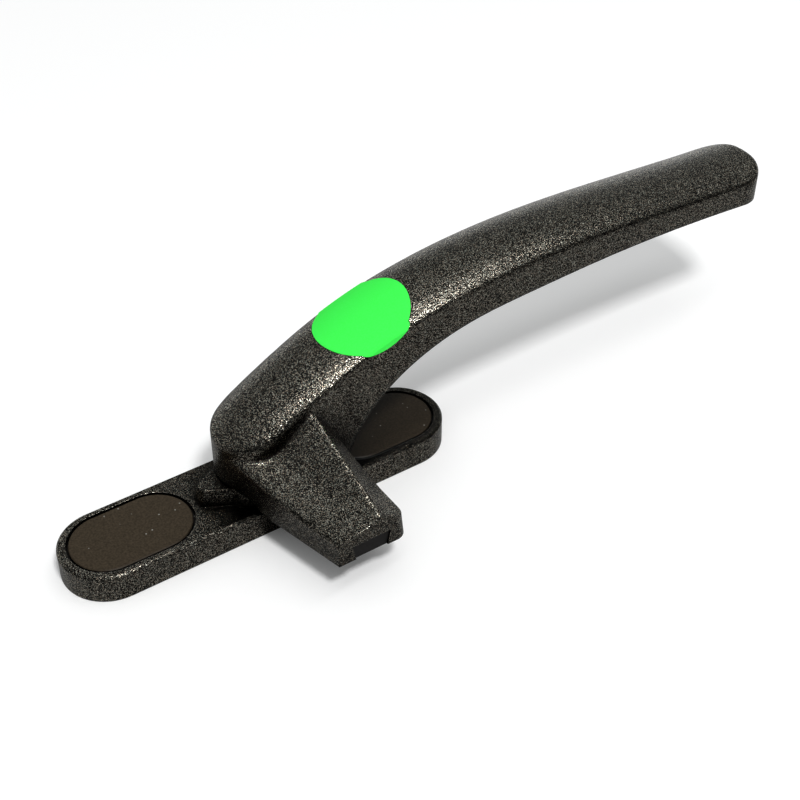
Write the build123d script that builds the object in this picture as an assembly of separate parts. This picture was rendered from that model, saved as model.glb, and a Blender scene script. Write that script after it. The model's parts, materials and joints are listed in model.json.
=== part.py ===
from build123d import *
import os
from math import sqrt

# Cockspur casement handle: a base plate, a turning lever with a cast nose, and their fittings.
# Millimetres. Origin on the plate's back face at the pivot axis.
# X runs along the plate towards the lever's tip, the nose points to -Y, Z stands off the window.

# Base plate
PLATE_L = 90.0
PLATE_W = 20.2
PLATE_T = 6.5
PLATE_EDGE = 0.5
BOSS_MARGIN = 0.2
BOSS_TOP_R = 8.8
BOSS_H = 3.6
BOSS_EDGE = 0.4
LUG_REACH = 14.8
LUG_END_W = 3.8
LUG_ROOT_W = 18.6
LUG_END_R = 1.8
LUG_DRAFT = 18.0

# Screw pockets and their covers
POCKET_GAP = 1.1
POCKET_END_WALL = 1.9
POCKET_SIDE_WALL = 1.55
POCKET_DEPTH = 3.4
SCREW_HOLE_R = 2.25
SCREW_HEAD_R = 4.5
SINK_DEPTH = 2.2
CAP_CLEARANCE = 0.08
CAP_GROOVE = 0.45
CAP_GROOVE_DEPTH = 1.2
CAP_WALL = 1.3
CAP_TOP_T = 1.6
CAP_EDGE = 0.2

# Pivot
PIN_R = 4.0
PIN_CLEARANCE = 0.05
PIN_PRESS_L = 9.0
PIN_HEAD_R = 5.6
PIN_HEAD_T = 1.0
PIN_HEAD_EDGE = 0.6
WASHER_MARGIN = 1.2
THRUST_WASHER_T = 0.4
KEEPER_R = 7.0
KEEPER_T = 0.8
DISC_SPRING_T = 0.5
DISC_SPRING_RISE = 0.4
WELL_CLEARANCE = 1.0
WELL_SPARE = 0.5

# Lever outline, seen from above
LEVER_REACH = 132.8
HEAD_R = 9.05
GRIP_W = 18.5
TIP_W = 18.4
TIP_CORNER_R = 7.0
ARRIS_R = 1.0

# Lever top line: heights above the hub's underside
HEAD_BACK_TOP = 8.7
HEAD_TOP = 16.8
NECK_X = 9.0
NECK_TOP = 21.4
SHOULDER_X = 21.5
SHOULDER_TOP = 26.7
BEND_X = 35.0
BEND_TOP = 30.6
GRIP_X = 78.0
GRIP_TOP = 33.9
TIP_TOP = 30.9
HEAD_CROWN_RISE = 5.0
GRIP_CROWN_RISE = 3.25
CROWN_SECTIONS = 13

# Lever underside: heights above the hub's underside
HEEL_X = 17.0
UNDER_NECK_X = 29.0
UNDER_NECK_Z = 14.95
UNDER_BEND_X = 47.0
UNDER_BEND_Z = 21.95
UNDER_RISE_X = 62.0
UNDER_RISE_Z = 23.45
UNDER_GRIP_X = 88.0
UNDER_GRIP_Z = 24.4
UNDER_TIP_Z = 21.5

# Nose: heights above the hub's underside
NOSE_REACH = 33.55
NOSE_DROP = 2.0
NOSE_LEFT_X = -0.9
NOSE_RIGHT_X = 14.3
NOSE_FLARE = 0.11
NOSE_DRAFT = 0.1
NOSE_RIDGE_X = 8.8
NOSE_RIDGE_SLOPE = 0.8
NOSE_ROOT_SLOPE = 0.5
NOSE_CREST = 0.55
NOSE_TIP_LEFT_Z = 4.5
NOSE_TIP_RIDGE_Z = 6.8
NOSE_TIP_RIGHT_Z = 2.7
NOSE_ROOT_LEFT_X = -6.95
NOSE_ROOT_LEFT_Z = 7.7
NOSE_ROOT_RIDGE_Z = 15.9
NOSE_ROOT_RIGHT_Z = 8.1
NOSE_MIDDLE_Y = -21.0
NOSE_INNER_Y = -2.0
NOSE_SWELL = 1.8
NOSE_SOFT_R = 1.6
NOSE_CORNER_R = 2.6
NOSE_FACET_L = 9.5
NOSE_FACET_Z = 3.35
NOSE_RELIEF_R = 11.0
NOSE_RELIEF_FOOT_R = 14.5

# Wear pad in the nose
PAD_X = 6.7
PAD_TOP_W = 8.9
PAD_FOOT_W = 7.4
PAD_H = 3.7
PAD_L = 9.0
PAD_SETBACK = 0.4
PAD_CLEARANCE = 0.05

# Paper dot
DOT_R = 10.65
DOT_ACROSS_R = 9.95
DOT_X = 26.0
DOT_T = 0.15
DOT_FOLD = 0.3
DOT_WRAP = 0.6

# Sizes and levels that the pieces share
BOSS_BASE_R = PLATE_W / 2 - BOSS_MARGIN
BOSS_TOP = PLATE_T + BOSS_H
HUB_Z = BOSS_TOP + THRUST_WASHER_T
POCKET_START = LUG_REACH + POCKET_GAP
POCKET_L = PLATE_L / 2 - POCKET_END_WALL - POCKET_START
POCKET_W = PLATE_W - 2 * POCKET_SIDE_WALL
POCKET_FLOOR = PLATE_T - POCKET_DEPTH
SCREW_X = POCKET_START + POCKET_L / 2
BORE_R = PIN_R + PIN_CLEARANCE
WELL_R = KEEPER_R + WELL_CLEARANCE
KEEPER_Z = WELL_SPARE + PIN_HEAD_T
DISC_SPRING_Z = KEEPER_Z + KEEPER_T
WELL_DEPTH = DISC_SPRING_Z + DISC_SPRING_RISE + DISC_SPRING_T
OVERRUN = 3 * ARRIS_R


def slot_prism(length, width, low, high):
    """An upright prism with round ends, between two levels."""
    return Pos(0, 0, low) * extrude(SlotOverall(length, width), high - low)


def rod(radius, low, high):
    """An upright round bar about the pivot axis."""
    return Pos(0, 0, low) * extrude(Circle(radius), high - low)


def ring(outer, inner, low, high):
    """A flat ring about the pivot axis."""
    return rod(outer, low, high) - rod(inner, low, high)


# Base plate: a round-ended slab with a drafted boss, a stop lug and two screw pockets
def make_base_plate():
    plate = slot_prism(PLATE_L, PLATE_W, 0, PLATE_T)
    plate = chamfer(plate.edges().group_by(Axis.Z)[-1], PLATE_EDGE)
    boss = Pos(0, 0, PLATE_T + BOSS_H / 2) * Cone(BOSS_BASE_R, BOSS_TOP_R, BOSS_H)
    boss = chamfer(boss.edges().group_by(Axis.Z)[-1], BOSS_EDGE)
    lug_face = make_face(Polyline(
        (0, LUG_ROOT_W / 2), (-LUG_REACH, LUG_END_W / 2),
        (-LUG_REACH, -LUG_END_W / 2), (0, -LUG_ROOT_W / 2), close=True))
    lug_face = fillet(lug_face.vertices().group_by(Axis.X)[0], LUG_END_R)
    lug = Pos(0, 0, PLATE_T) * extrude(lug_face, BOSS_H, taper=LUG_DRAFT)
    plate = plate + rod(BOSS_BASE_R, 0, PLATE_T) + boss + lug
    plate = plate - rod(BORE_R, 0, BOSS_TOP) - rod(WELL_R, 0, WELL_DEPTH)
    hole = rod(SCREW_HOLE_R, 0, POCKET_FLOOR)
    sink = Pos(0, 0, POCKET_FLOOR - SINK_DEPTH / 2) * Cone(SCREW_HOLE_R, SCREW_HEAD_R, SINK_DEPTH)
    pocket = slot_prism(POCKET_L, POCKET_W, POCKET_FLOOR, PLATE_T)
    for side in (-1, 1):
        plate = plate - Pos(side * SCREW_X, 0, 0) * (hole + sink + pocket)
    return plate


# Screw cover: a hollow oval that fits its pocket, stepped in near the top to leave a groove
def make_cap(side):
    foot_l = POCKET_L - 2 * CAP_CLEARANCE
    foot_w = POCKET_W - 2 * CAP_CLEARANCE
    step_z = PLATE_T - CAP_GROOVE_DEPTH
    foot = slot_prism(foot_l, foot_w, POCKET_FLOOR, step_z)
    face = slot_prism(foot_l - 2 * CAP_GROOVE, foot_w - 2 * CAP_GROOVE, step_z, PLATE_T)
    face = chamfer(face.edges().group_by(Axis.Z)[-1], CAP_EDGE)
    room = slot_prism(foot_l - 2 * CAP_WALL, foot_w - 2 * CAP_WALL, POCKET_FLOOR, PLATE_T - CAP_TOP_T)
    return Pos(side * SCREW_X, 0, 0) * (foot + face - room)


# Crown of the lever: a loft of arched sections set evenly along the top line
def crown(grow):
    back_slope = (HEAD_TOP - HEAD_BACK_TOP) / HEAD_R
    top_line = Spline(
        (-HEAD_R - OVERRUN, HEAD_BACK_TOP - OVERRUN * back_slope), (0, HEAD_TOP), (NECK_X, NECK_TOP),
        (SHOULDER_X, SHOULDER_TOP), (BEND_X, BEND_TOP), (GRIP_X, GRIP_TOP),
        (LEVER_REACH + OVERRUN, TIP_TOP))
    half = HEAD_R + ARRIS_R
    sections = []
    for step in range(CROWN_SECTIONS + 1):
        point = top_line @ (step / CROWN_SECTIONS)
        top = point.Y + grow
        share = min(max(point.X / SHOULDER_X, 0), 1)
        edge = top - HEAD_CROWN_RISE - share * (GRIP_CROWN_RISE - HEAD_CROWN_RISE)
        sides = Polyline((-half, edge), (-half, -HEAD_R), (half, -HEAD_R), (half, edge))
        arch = ThreePointArc((half, edge), (0, top), (-half, edge))
        plane = Plane((point.X, 0, 0), x_dir=(0, 1, 0), z_dir=(1, 0, 0))
        sections.append(plane * make_face(sides + arch))
    return loft(sections)


def lever_outline(grow):
    """The lever seen from above: a round head, a straight grip and a square tip with round corners."""
    head_r = HEAD_R + grow
    tip_half = TIP_W / 2 + grow
    corner_r = TIP_CORNER_R + grow
    corner_x = LEVER_REACH - TIP_CORNER_R
    corner_y = tip_half - corner_r
    lean = corner_r * sqrt(0.5)
    side = Spline((0, head_r), (LEVER_REACH / 2, GRIP_W / 2 + grow), (corner_x, tip_half),
                  tangents=((1, 0), (1, 0)))
    corner = ThreePointArc((corner_x, tip_half), (corner_x + lean, corner_y + lean),
                           (corner_x + corner_r, corner_y))
    head = ThreePointArc((0, head_r), (-head_r, 0), (0, -head_r))
    end = Line((corner_x + corner_r, corner_y), (corner_x + corner_r, -corner_y))
    return make_face([head, side, corner, end, mirror(corner, Plane.XZ), mirror(side, Plane.XZ)])


def lever_block(grow):
    """The lever's outer form without its underside, grown outwards by a skin's thickness."""
    return crown(grow) & extrude(lever_outline(grow), GRIP_TOP + OVERRUN)


def top_edges(block):
    """The edges all round the crown."""
    return block.faces().sort_by(Axis.Z)[-1].edges()


# Underside of the lever: flat under the hub, then a hollow curve up the neck and along the grip
def under_cut():
    past_tip = LEVER_REACH + HEAD_R
    curve = Spline((HEEL_X, 0), (UNDER_NECK_X, UNDER_NECK_Z), (UNDER_BEND_X, UNDER_BEND_Z),
                   (UNDER_RISE_X, UNDER_RISE_Z), (UNDER_GRIP_X, UNDER_GRIP_Z), (past_tip, UNDER_TIP_Z))
    rest = Polyline((past_tip, UNDER_TIP_Z), (past_tip, -HEAD_R), (HEEL_X, -HEAD_R), (HEEL_X, 0))
    face = Plane.XZ * make_face(curve + rest)
    return extrude(face, 2 * HEAD_R, both=True)


# Nose: sections across Y, with a soft left edge, a hollow top and a rounded ridge
def nose_section(y):
    share = (y + NOSE_REACH) / (NOSE_REACH - HEAD_R)
    left_x = NOSE_LEFT_X + share * (NOSE_ROOT_LEFT_X - NOSE_LEFT_X)
    left_z = NOSE_TIP_LEFT_Z + share ** NOSE_SWELL * (NOSE_ROOT_LEFT_Z - NOSE_TIP_LEFT_Z)
    ridge_z = NOSE_TIP_RIDGE_Z + share * (NOSE_ROOT_RIDGE_Z - NOSE_TIP_RIDGE_Z)
    right_z = NOSE_TIP_RIGHT_Z + share * (NOSE_ROOT_RIGHT_Z - NOSE_TIP_RIGHT_Z)
    soft = NOSE_SOFT_R
    lean = soft * (1 - sqrt(0.5))
    edge = ThreePointArc((left_x, left_z - soft), (left_x + lean, left_z - lean),
                         (left_x + soft, left_z))
    slope = NOSE_RIDGE_SLOPE + share * (NOSE_ROOT_SLOPE - NOSE_RIDGE_SLOPE)
    rise = Vector(1, slope).normalized()
    fall = Vector(NOSE_RIGHT_X - NOSE_RIDGE_X, right_z - ridge_z).normalized()
    crest_start = Vector(NOSE_RIDGE_X, ridge_z) - rise * NOSE_CREST
    crest_end = Vector(NOSE_RIDGE_X, ridge_z) + fall * NOSE_CREST
    hollow = Spline((left_x + soft, left_z), crest_start, tangents=((1, 0), rise))
    crest = Spline(crest_start, crest_end, tangents=(rise, fall))
    outer = Vector(NOSE_RIGHT_X, right_z) + fall * NOSE_CORNER_R
    rest = Polyline(crest_end, outer, (outer.X, -NOSE_DROP), (left_x, -NOSE_DROP), (left_x, left_z - soft))
    plane = Plane((0, y, 0), x_dir=(1, 0, 0), z_dir=(0, -1, 0))
    return plane * make_face(edge + hollow + crest + rest)


def nose_facet():
    """The flat three-cornered facet between the ridge's end and the nose's right edge."""
    ridge = Vector(NOSE_RIDGE_X, -NOSE_REACH, NOSE_TIP_RIDGE_Z)
    edge = Vector(NOSE_RIGHT_X, -NOSE_REACH, NOSE_TIP_RIGHT_Z)
    tip = ridge + (edge - ridge).normalized() * NOSE_CREST
    corner = Vector(NOSE_RIGHT_X, -NOSE_REACH, NOSE_FACET_Z)
    facet_share = NOSE_FACET_L / (NOSE_REACH - HEAD_R)
    back_z = NOSE_TIP_RIGHT_Z + facet_share * (NOSE_ROOT_RIGHT_Z - NOSE_TIP_RIGHT_Z)
    back = Vector(NOSE_RIGHT_X, -NOSE_REACH + NOSE_FACET_L, back_z)
    width = NOSE_RIGHT_X + NOSE_CORNER_R - tip.X
    block = Box(width, 2 * NOSE_FACET_L, NOSE_TIP_RIDGE_Z + NOSE_DROP,
                align=(Align.MIN, Align.CENTER, Align.MIN))
    block = Pos(tip.X, -NOSE_REACH, -NOSE_DROP) * block
    facet = Plane(tip, z_dir=(corner - tip).cross(back - tip))
    return split(block, bisect_by=facet, keep=Keep.BOTTOM)


def pad_prism(clearance, low_y, high_y):
    """The dovetail bar that the nose's slot and its pad share."""
    top = PAD_TOP_W / 2 - clearance
    foot = PAD_FOOT_W / 2 - clearance
    top_z = PAD_H - NOSE_DROP - clearance
    face = make_face(Polyline(
        (PAD_X - foot, -NOSE_DROP), (PAD_X + foot, -NOSE_DROP),
        (PAD_X + top, top_z), (PAD_X - top, top_z), close=True))
    plane = Plane((0, low_y, 0), x_dir=(1, 0, 0), z_dir=(0, -1, 0))
    return extrude(plane * face, low_y - high_y)


def nose_outline(level):
    """The nose at a level: its right side flared and drafted, its corner round, with room on the left."""
    left = NOSE_ROOT_LEFT_X - HEAD_R
    foot_x = NOSE_RIGHT_X - NOSE_DRAFT * (level + NOSE_DROP)
    tip_x = foot_x + NOSE_FLARE * (NOSE_MIDDLE_Y + NOSE_REACH)
    root_x = foot_x + NOSE_FLARE * (NOSE_MIDDLE_Y - NOSE_INNER_Y)
    face = make_face(Polyline((left, NOSE_INNER_Y), (left, -NOSE_REACH), (tip_x, -NOSE_REACH),
                              (root_x, NOSE_INNER_Y), close=True))
    corner = face.vertices().group_by(Axis.Y)[0].sort_by(Axis.X)[-1]
    return Pos(0, 0, level) * fillet(corner, NOSE_CORNER_R)


def make_nose():
    """The nose with its facet, rounded corner, pad slot and the relief that clears the boss."""
    nose = loft([nose_section(y) for y in (-NOSE_REACH, NOSE_MIDDLE_Y, -HEAD_R, NOSE_INNER_Y)])
    envelope = loft([nose_outline(-HEAD_R), nose_outline(NOSE_ROOT_RIDGE_Z + HEAD_R)])
    nose = (nose + nose_facet()) & envelope
    relief = Pos(0, 0, -NOSE_DROP / 2) * Cone(NOSE_RELIEF_FOOT_R, NOSE_RELIEF_R, NOSE_DROP)
    slot = pad_prism(0, -NOSE_REACH - PAD_SETBACK, -NOSE_REACH + PAD_SETBACK + PAD_L)
    return nose - relief - slot


# Lever: one casting of head, neck, grip and nose, with a blind hole for the rivet
def make_lever():
    block = lever_block(0)
    lever = fillet(top_edges(block), ARRIS_R) - under_cut()
    lever = lever + make_nose() - rod(PIN_R, 0, PIN_PRESS_L)
    return Pos(0, 0, HUB_Z) * lever


def make_nose_pad():
    front = -NOSE_REACH + PAD_SETBACK
    return Pos(0, 0, HUB_Z) * pad_prism(PAD_CLEARANCE, front, front + PAD_L)


# Pivot: a rivet pressed into the lever, a thrust washer, a disc spring and a keeper washer
def make_pivot_rivet():
    head = rod(PIN_HEAD_R, WELL_SPARE, KEEPER_Z)
    head = chamfer(head.edges().group_by(Axis.Z)[0], PIN_HEAD_EDGE)
    return head + rod(PIN_R, KEEPER_Z, HUB_Z + PIN_PRESS_L)


def make_disc_spring():
    face = make_face(Polyline(
        (BORE_R, DISC_SPRING_Z), (KEEPER_R, DISC_SPRING_Z + DISC_SPRING_RISE),
        (KEEPER_R, WELL_DEPTH), (BORE_R, DISC_SPRING_Z + DISC_SPRING_T), close=True))
    return revolve(Plane.XZ * face, Axis.Z)


# Paper dot: a skin over the crown, folded over both arrises, with a round outline on every side
def folded_block(grow):
    block = lever_block(grow)
    return chamfer(top_edges(block), DOT_FOLD)


def make_dot_label():
    slope = (BEND_TOP - SHOULDER_TOP) / (BEND_X - SHOULDER_X)
    dot_top = SHOULDER_TOP + slope * (DOT_X - SHOULDER_X)
    plane = Plane((DOT_X, 0, dot_top), x_dir=(1, 0, slope), z_dir=(-slope, 0, 1))
    over = extrude(Ellipse(DOT_R, DOT_ACROSS_R), DOT_R, both=True)
    down = Pos(0, 0, DOT_R - GRIP_CROWN_RISE - DOT_WRAP) * Rot(90, 0, 0) * Cylinder(DOT_R, 4 * HEAD_R)
    crown_zone = Box(4 * DOT_R, GRIP_W - 2 * ARRIS_R, 4 * DOT_R)
    outline = plane * ((over & crown_zone) + (down - crown_zone))
    skin = folded_block(DOT_T) - folded_block(0)
    return Pos(0, 0, HUB_Z) * (skin & outline)


NODES = {
    "base_plate": make_base_plate(),
    "cap_left": make_cap(-1),
    "cap_right": make_cap(1),
    "thrust_washer": ring(BOSS_TOP_R - WASHER_MARGIN, BORE_R, BOSS_TOP, HUB_Z),
    "disc_spring": make_disc_spring(),
    "keeper_washer": ring(KEEPER_R, PIN_R, KEEPER_Z, DISC_SPRING_Z),
    "pivot_rivet": make_pivot_rivet(),
    "lever": make_lever(),
    "nose_pad": make_nose_pad(),
    "dot_label": make_dot_label(),
}

os.makedirs("parts", exist_ok=True)
for name, solid in NODES.items():
    export_step(solid, f"parts/{name}.step")
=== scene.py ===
import json
from math import pi

import bpy
from mathutils import Matrix, Vector

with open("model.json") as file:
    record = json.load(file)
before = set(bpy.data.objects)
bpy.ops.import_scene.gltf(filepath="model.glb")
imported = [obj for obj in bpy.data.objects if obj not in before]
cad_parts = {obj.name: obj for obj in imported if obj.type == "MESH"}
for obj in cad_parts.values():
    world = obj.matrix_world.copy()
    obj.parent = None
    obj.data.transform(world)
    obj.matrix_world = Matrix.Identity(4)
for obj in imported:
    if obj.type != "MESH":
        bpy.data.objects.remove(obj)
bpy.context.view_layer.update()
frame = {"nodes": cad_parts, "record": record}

# Lengths are in metres. A pair named ..._FADE holds the values at which a smooth step is 0 and 1

# Camera, solved from the plate's outline and the covers' grooves
CAMERA_PLACE = Vector((-0.10299, -0.20591, 0.21997))
CAMERA_FORWARD = Vector((0.4274, 0.6336, -0.6449)).normalized()
CAMERA_RIGHT = Vector((0.8293, -0.5587, 0.0006)).normalized()
CAMERA_LENS_MM = 66.80
CAMERA_SENSOR_MM = 36.0
CAMERA_NEAR = 0.01

# Floor: its tone, its lift towards white, the painted contact shade that dims that lift where the floor is
# sheltered, and the tones that metal sees along FLOOR_LOOK
FLOOR_HALF = 4.0
FLOOR_DROP = 0.0001
FLOOR_TONE = 0.82
FLOOR_LIFT = 0.3
CONTACT_REACH = 0.03
FLOOR_LOOK = Vector((0.6, 0.8, 0.0))
FLOOR_START = -0.16
FLOOR_END = 0.24
FLOOR_REFLECTED = [(0.0, 0.03), (0.3, 0.3), (0.6, 0.3), (0.95, 0.5)]
FLOOR_BEHIND_FADE = (0.7, 1.0)

# Room: its tones, and the parts of a direction at which its zones start and end
ROOM_COLOUR = (0.97, 1.0, 1.0, 1)
ROOM_TONE = 0.27
OVERHEAD_TONE = 0.41
OVERHEAD_FADE = (0.65, 0.95)
DARK_TONE = 0.025
AHEAD_Y_FADE = (-0.05, -0.3)
AHEAD_Z_FADE = (0.85, 0.6)
LEFT_X_FADE = (-0.4, -0.7)
LEFT_Z_FADE = (0.4, 0.15)
BEHIND_Y_FADE = (0.2, 0.6)
BEHIND_Z_FADE = (0.15, 0.05)

# Lamps: place, aim, size and radiance
LAMPS = {
    "key": (Vector((-0.12, -1.02, 1.77)), Vector((0.05, 0.0, 0.0)), (0.32, 0.26), 104.0),
    "overhead": (Vector((0.12, -0.3, 1.4)), Vector((0.05, 0.0, 0.0)), (1.3, 0.2), 3.6),
}

# Powder coat: flecks
FLECK_SIZE = 0.00011
FLECK_TILT = 0.22
COAT_TONES = [(0.0, 0.005), (0.7, 0.015), (0.84, 0.38), (1.0, 1.0)]
COAT_TINTS = [(0.0, (1.2, 0.98, 0.76)), (0.5, (1.08, 1.0, 0.84)), (1.0, (0.98, 1.02, 0.9))]
COAT_ROUGH = 0.25

# Powder coat: rounding of the edges, and where the lever's crown lies above and behind the nose
EDGE_R = 0.0003
ARRIS_R = 0.0016
EDGE_SAMPLES = 6
CROWN_Z_FADE = (0.0105, 0.0125)
CROWN_Y_FADE = (-0.0115, -0.0095)

# Painted shade in the recesses, darkening the coat's colour by the open space round a point: more on the
# plate's top, none on its walls
SPACE_SAMPLES = 8
RECESS_REACH = 0.03
RECESS_FADE = (0.45, 0.9)
PLATE_SHELTER = 0.1
PLATE_TOP_FADE = (0.0085, 0.0072)
PLATE_WALL_FADE = (0.0064, 0.0058)

# Painted shade and specks of dust on the screw covers
CAP_REACH = 0.05
CAP_FADE = (0.2, 0.95)
DUST_SPACING = 0.0016
DUST_CHOSEN_FADE = (0.6, 0.9)
DUST_SPOT_FADE = (0.14, 0.06)
DUST_COLOUR = (0.3, 0.29, 0.26, 1)

# Mottled materials: the noise's scale and detail, its dark and light colours, and the shader's own values
MOTTLE_DARK = 0.3
MOTTLE_LIGHT = 0.7
MOTTLED = {
    "cap_plastic": (2500.0, 3.0, (0.024, 0.017, 0.009, 1), (0.056, 0.041, 0.025, 1), {
        "Roughness": 0.5, "Specular IOR Level": 0.2}),
    "pad_plastic": (1200.0, 2.0, (0.007, 0.0065, 0.006, 1), (0.011, 0.01, 0.0095, 1), {
        "Roughness": 0.4, "Specular IOR Level": 0.2}),
    "washer_plastic": (800.0, 2.0, (0.66, 0.65, 0.6, 1), (0.72, 0.71, 0.66, 1), {
        "Roughness": 0.5}),
    "steel": (2500.0, 3.0, (0.42, 0.42, 0.41, 1), (0.6, 0.6, 0.58, 1), {
        "Roughness": 0.35, "Metallic": 1.0}),
    # The green paper's emission is a painted glow: the label shines a little by itself
    "green_paper": (3000.0, 4.0, (0.045, 0.9, 0.08, 1), (0.055, 0.94, 0.1, 1), {
        "Roughness": 0.8, "Specular IOR Level": 0.15,
        "Emission Color": (0.05, 1, 0.06, 1), "Emission Strength": 0.12}),
}


def add_node(tree, kind, inputs=None, **settings):
    """Add a node, set it and its inputs, and join those that are sockets."""
    node = tree.nodes.new(kind)
    for name, value in settings.items():
        setattr(node, name, value)
    for socket, value in (inputs or {}).items():
        if isinstance(value, bpy.types.NodeSocket):
            tree.links.new(value, node.inputs[socket])
        else:
            node.inputs[socket].default_value = value
    return node


def new_material(name):
    """Return a material with its node tree and its Principled shader."""
    material = bpy.data.materials.new(name)
    material.use_nodes = True
    tree = material.node_tree
    return material, tree, tree.nodes["Principled BSDF"]


def link(tree, source, shader, socket):
    tree.links.new(source, shader.inputs[socket])


def part_position(tree):
    """Position on the piece, in metres in the part's own frame."""
    return add_node(tree, "ShaderNodeTexCoord").outputs["Object"]


def split(tree, vector):
    """Outputs X, Y and Z of a vector."""
    return add_node(tree, "ShaderNodeSeparateXYZ", {"Vector": vector}).outputs


def split_colour(tree, colour):
    """Outputs Red, Green and Blue of a colour."""
    return add_node(tree, "ShaderNodeSeparateColor", {"Color": colour}).outputs


def voronoi(tree, position, size):
    """Cells of the given size."""
    return add_node(tree, "ShaderNodeTexVoronoi", {"Vector": position, "Scale": 1 / size}).outputs


def open_space(tree, reach):
    """Share of open space round a point, within the reach."""
    node = add_node(tree, "ShaderNodeAmbientOcclusion", {"Distance": reach}, samples=SPACE_SAMPLES)
    return node.outputs["AO"]


def colour_ramp(tree, factor, stops):
    """Colour ramp with the given (place, colour) stops."""
    node = add_node(tree, "ShaderNodeValToRGB", {"Fac": factor})
    elements = node.color_ramp.elements
    while len(elements) < len(stops):
        elements.new(0.5)
    for element, (place, colour) in zip(elements, stops):
        element.position = place
        element.color = colour
    return node.outputs["Color"]


def tone_ramp(tree, factor, stops):
    """Ramp of greys with the given (place, tone) stops."""
    return colour_ramp(tree, factor, [(place, (tone, tone, tone, 1)) for place, tone in stops])


def fade(tree, value, ends):
    """Smooth step from 0 at the first end to 1 at the second."""
    return add_node(tree, "ShaderNodeMapRange", {"Value": value, "From Min": ends[0], "From Max": ends[1]},
                    interpolation_type="SMOOTHSTEP").outputs["Result"]


def blend(tree, share, low, high):
    """Value between low and high at the given share."""
    return add_node(tree, "ShaderNodeMapRange", {
        "Value": share, "To Min": low, "To Max": high}).outputs["Result"]


def scalar_math(tree, operation, first, second):
    return add_node(tree, "ShaderNodeMath", {0: first, 1: second}, operation=operation).outputs["Value"]


def times(tree, first, second):
    return scalar_math(tree, "MULTIPLY", first, second)


def larger(tree, first, second):
    return scalar_math(tree, "MAXIMUM", first, second)


def vector_math(tree, operation, first, second=(0, 0, 0)):
    node = add_node(tree, "ShaderNodeVectorMath", {0: first, 1: second}, operation=operation)
    return node.outputs["Vector"]


def edge_radius(tree, position):
    """Rounding of edges: wider along the lever's crown than on the plate and the nose."""
    place = split(tree, position)
    crown = times(tree, fade(tree, place["Z"], CROWN_Z_FADE), fade(tree, place["Y"], CROWN_Y_FADE))
    return blend(tree, crown, EDGE_R, ARRIS_R)


def painted_recess_shade(tree, position):
    """Painted shade for the coat's colour: 1 on open faces and low walls, near 0 deep in the recesses over
    the plate.
    """
    height = split(tree, position)["Z"]
    sheltered = times(tree, fade(tree, height, PLATE_TOP_FADE), PLATE_SHELTER)
    space = scalar_math(tree, "SUBTRACT", open_space(tree, RECESS_REACH), sheltered)
    return larger(tree, fade(tree, space, RECESS_FADE), fade(tree, height, PLATE_WALL_FADE))


def bronze_coat():
    """Dark bronze powder coat with fine metallic flecks, each with its own tone, tint and tilt, its colour
    darkened by painted shade in the recesses.
    """
    material, tree, shader = new_material("bronze_coat")
    position = part_position(tree)
    cells = voronoi(tree, position, FLECK_SIZE)
    channels = split_colour(tree, cells["Color"])
    tone = tone_ramp(tree, channels["Red"], COAT_TONES)
    tint = colour_ramp(tree, channels["Green"], [(place, (*tint, 1)) for place, tint in COAT_TINTS])
    colour = vector_math(tree, "MULTIPLY", tone, tint)
    # Painted shade: the flecks' colour is multiplied by the shade of the recesses
    link(tree, vector_math(tree, "MULTIPLY", colour, painted_recess_shade(tree, position)), shader, "Base Color")
    rounded = add_node(tree, "ShaderNodeBevel", {"Radius": edge_radius(tree, position)}, samples=EDGE_SAMPLES)
    lean = add_node(tree, "ShaderNodeTexWhiteNoise", {"Vector": cells["Position"]}).outputs["Color"]
    lean = vector_math(tree, "SUBTRACT", lean, (0.5, 0.5, 0.5))
    spread = vector_math(tree, "MULTIPLY", lean, (FLECK_TILT, FLECK_TILT, FLECK_TILT))
    tilted = vector_math(tree, "ADD", rounded.outputs["Normal"], spread)
    link(tree, vector_math(tree, "NORMALIZE", tilted), shader, "Normal")
    shader.inputs["Metallic"].default_value = 1.0
    shader.inputs["Roughness"].default_value = COAT_ROUGH
    return material


def mottled(name):
    """Material with two close colours mottled together; also its tree, its shader and that colour."""
    scale, detail, dark, light, values = MOTTLED[name]
    material, tree, shader = new_material(name)
    noise = add_node(tree, "ShaderNodeTexNoise", {
        "Vector": part_position(tree), "Scale": scale, "Detail": detail}).outputs["Fac"]
    colour = colour_ramp(tree, noise, [(MOTTLE_DARK, dark), (MOTTLE_LIGHT, light)])
    link(tree, colour, shader, "Base Color")
    for socket, value in values.items():
        shader.inputs[socket].default_value = value
    return material, tree, shader, colour


def cap_plastic():
    """Satin brown plastic, with painted shade where the lever shelters it, and a few specks of dust."""
    material, tree, shader, colour = mottled("cap_plastic")
    cells = voronoi(tree, part_position(tree), DUST_SPACING)
    chosen = fade(tree, split_colour(tree, cells["Color"])["Red"], DUST_CHOSEN_FADE)
    dust = times(tree, chosen, fade(tree, cells["Distance"], DUST_SPOT_FADE))
    # Painted shade: the covers' colour is darkened where the lever and the plate shelter them
    painted_shade_colour = vector_math(tree, "MULTIPLY", colour, fade(tree, open_space(tree, CAP_REACH), CAP_FADE))
    # Sockets 0, 6 and 7 of a colour mix are its factor and its two colours, and output 2 is the result
    mixed = add_node(tree, "ShaderNodeMix", {0: dust, 6: painted_shade_colour, 7: DUST_COLOUR}, data_type="RGBA")
    link(tree, mixed.outputs[2], shader, "Base Color")
    return material


def dress_nodes():
    """Give every piece the material of its slot."""
    materials = {"bronze_coat": bronze_coat(), "cap_plastic": cap_plastic()}
    for name in ("pad_plastic", "washer_plastic", "steel", "green_paper"):
        materials[name] = mottled(name)[0]
    for subpart in frame["record"]["subparts"]:
        piece = frame["nodes"][subpart["node"]]
        piece.data.materials.clear()
        piece.data.materials.append(materials[subpart["material_slot"]])


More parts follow.
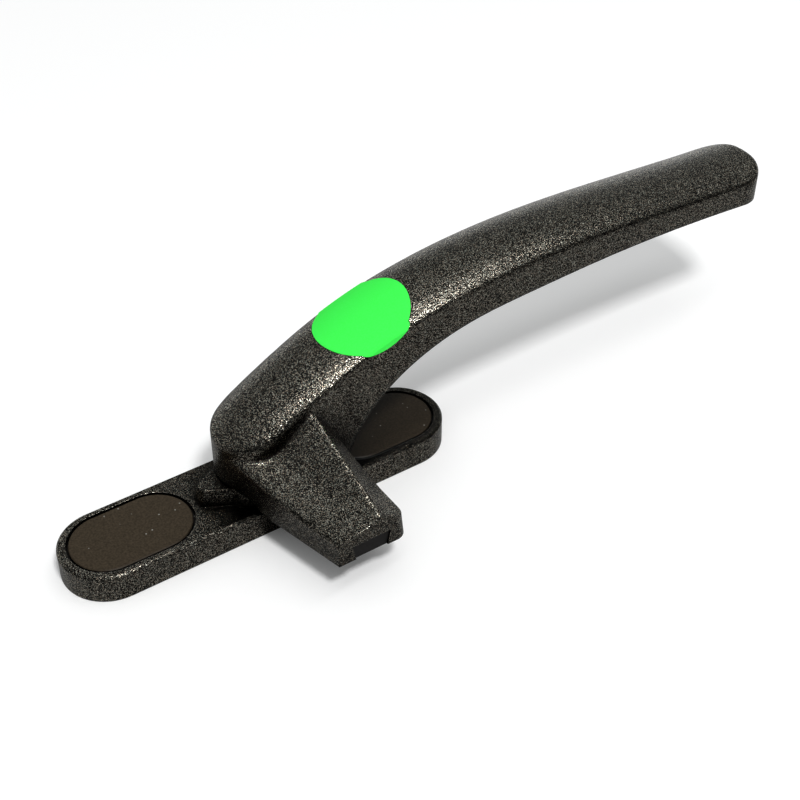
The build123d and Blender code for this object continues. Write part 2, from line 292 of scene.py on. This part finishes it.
def shown_white(tree, path, behind):
    """1 for the rays that see the white background: camera and transmission rays, and glossy ones behind."""
    straight = larger(tree, path["Is Camera Ray"], path["Is Transmission Ray"])
    return larger(tree, straight, times(tree, path["Is Glossy Ray"], behind))


def make_floor():
    """Pale floor that reads as white and keeps the shadow, with painted contact shade where its lift is
    dimmed near the object; metal sees it dimmer in front than behind.
    """
    mesh = bpy.data.meshes.new("floor")
    corners = [(-FLOOR_HALF, -FLOOR_HALF), (FLOOR_HALF, -FLOOR_HALF),
               (FLOOR_HALF, FLOOR_HALF), (-FLOOR_HALF, FLOOR_HALF)]
    mesh.from_pydata([(x, y, -FLOOR_DROP) for x, y in corners], [], [(0, 1, 2, 3)])
    floor = bpy.data.objects.new("floor", mesh)
    bpy.context.scene.collection.objects.link(floor)
    material, tree, shader = new_material("floor")
    distance = add_node(tree, "ShaderNodeVectorMath", {
        0: part_position(tree), 1: FLOOR_LOOK}, operation="DOT_PRODUCT").outputs["Value"]
    along = add_node(tree, "ShaderNodeMapRange", {
        "Value": distance, "From Min": FLOOR_START, "From Max": FLOOR_END}).outputs["Result"]
    path = add_node(tree, "ShaderNodeLightPath").outputs
    plain = times(tree, scalar_math(tree, "SUBTRACT", 1.0, path["Is Glossy Ray"]), FLOOR_TONE)
    link(tree, larger(tree, tone_ramp(tree, along, FLOOR_REFLECTED), plain), shader, "Base Color")
    shader.inputs["Roughness"].default_value = 1.0
    shader.inputs["Specular IOR Level"].default_value = 0.0
    shader.inputs["Emission Color"].default_value = (1, 1, 1, 1)
    shown = shown_white(tree, path, fade(tree, along, FLOOR_BEHIND_FADE))
    # Painted contact shade: the lift towards white is dimmed where the object shelters the floor
    lift = times(tree, times(tree, shown, open_space(tree, CONTACT_REACH)), FLOOR_LIFT)
    link(tree, lift, shader, "Emission Strength")
    mesh.materials.append(material)


def make_world():
    """Pale room that is dark low down in front and on the left, and reads as white in the picture."""
    world = bpy.data.worlds.new("studio")
    world.use_nodes = True
    tree = world.node_tree
    background = tree.nodes["Background"]
    background.inputs["Color"].default_value = ROOM_COLOUR
    direction = split(tree, add_node(tree, "ShaderNodeTexCoord").outputs["Generated"])
    ahead = times(tree, fade(tree, direction["Y"], AHEAD_Y_FADE), fade(tree, direction["Z"], AHEAD_Z_FADE))
    left = times(tree, fade(tree, direction["X"], LEFT_X_FADE), fade(tree, direction["Z"], LEFT_Z_FADE))
    behind = times(tree, fade(tree, direction["Y"], BEHIND_Y_FADE), fade(tree, direction["Z"], BEHIND_Z_FADE))
    room = blend(tree, fade(tree, direction["Z"], OVERHEAD_FADE), ROOM_TONE, OVERHEAD_TONE)
    lit = scalar_math(tree, "SUBTRACT", 1.0, larger(tree, ahead, left))
    tone = larger(tree, times(tree, room, lit), DARK_TONE)
    path = add_node(tree, "ShaderNodeLightPath").outputs
    link(tree, larger(tree, tone, shown_white(tree, path, behind)), background, "Strength")
    bpy.context.scene.world = world


def make_lamps():
    """Key lamp above the front and a long dim one overhead."""
    for name, (place, aim, size, radiance) in LAMPS.items():
        data = bpy.data.lights.new(name, "AREA")
        data.shape = "RECTANGLE"
        data.size, data.size_y = size
        data.energy = radiance * pi * size[0] * size[1]
        lamp = bpy.data.objects.new(name, data)
        lamp.location = place
        lamp.rotation_euler = (aim - place).to_track_quat("-Z", "Y").to_euler()
        bpy.context.scene.collection.objects.link(lamp)


def make_camera():
    """Camera at the photograph's place, direction and lens."""
    data = bpy.data.cameras.new("camera")
    data.sensor_width = CAMERA_SENSOR_MM
    data.lens = CAMERA_LENS_MM
    data.clip_start = CAMERA_NEAR
    camera = bpy.data.objects.new("camera", data)
    up = CAMERA_RIGHT.cross(CAMERA_FORWARD)
    turn = Matrix((CAMERA_RIGHT, up, -CAMERA_FORWARD)).transposed().to_4x4()
    camera.matrix_world = Matrix.Translation(CAMERA_PLACE) @ turn
    bpy.context.scene.collection.objects.link(camera)
    bpy.context.scene.camera = camera


bpy.context.scene.view_settings.view_transform = "Standard"
dress_nodes()
make_floor()
make_world()
make_lamps()
make_camera()
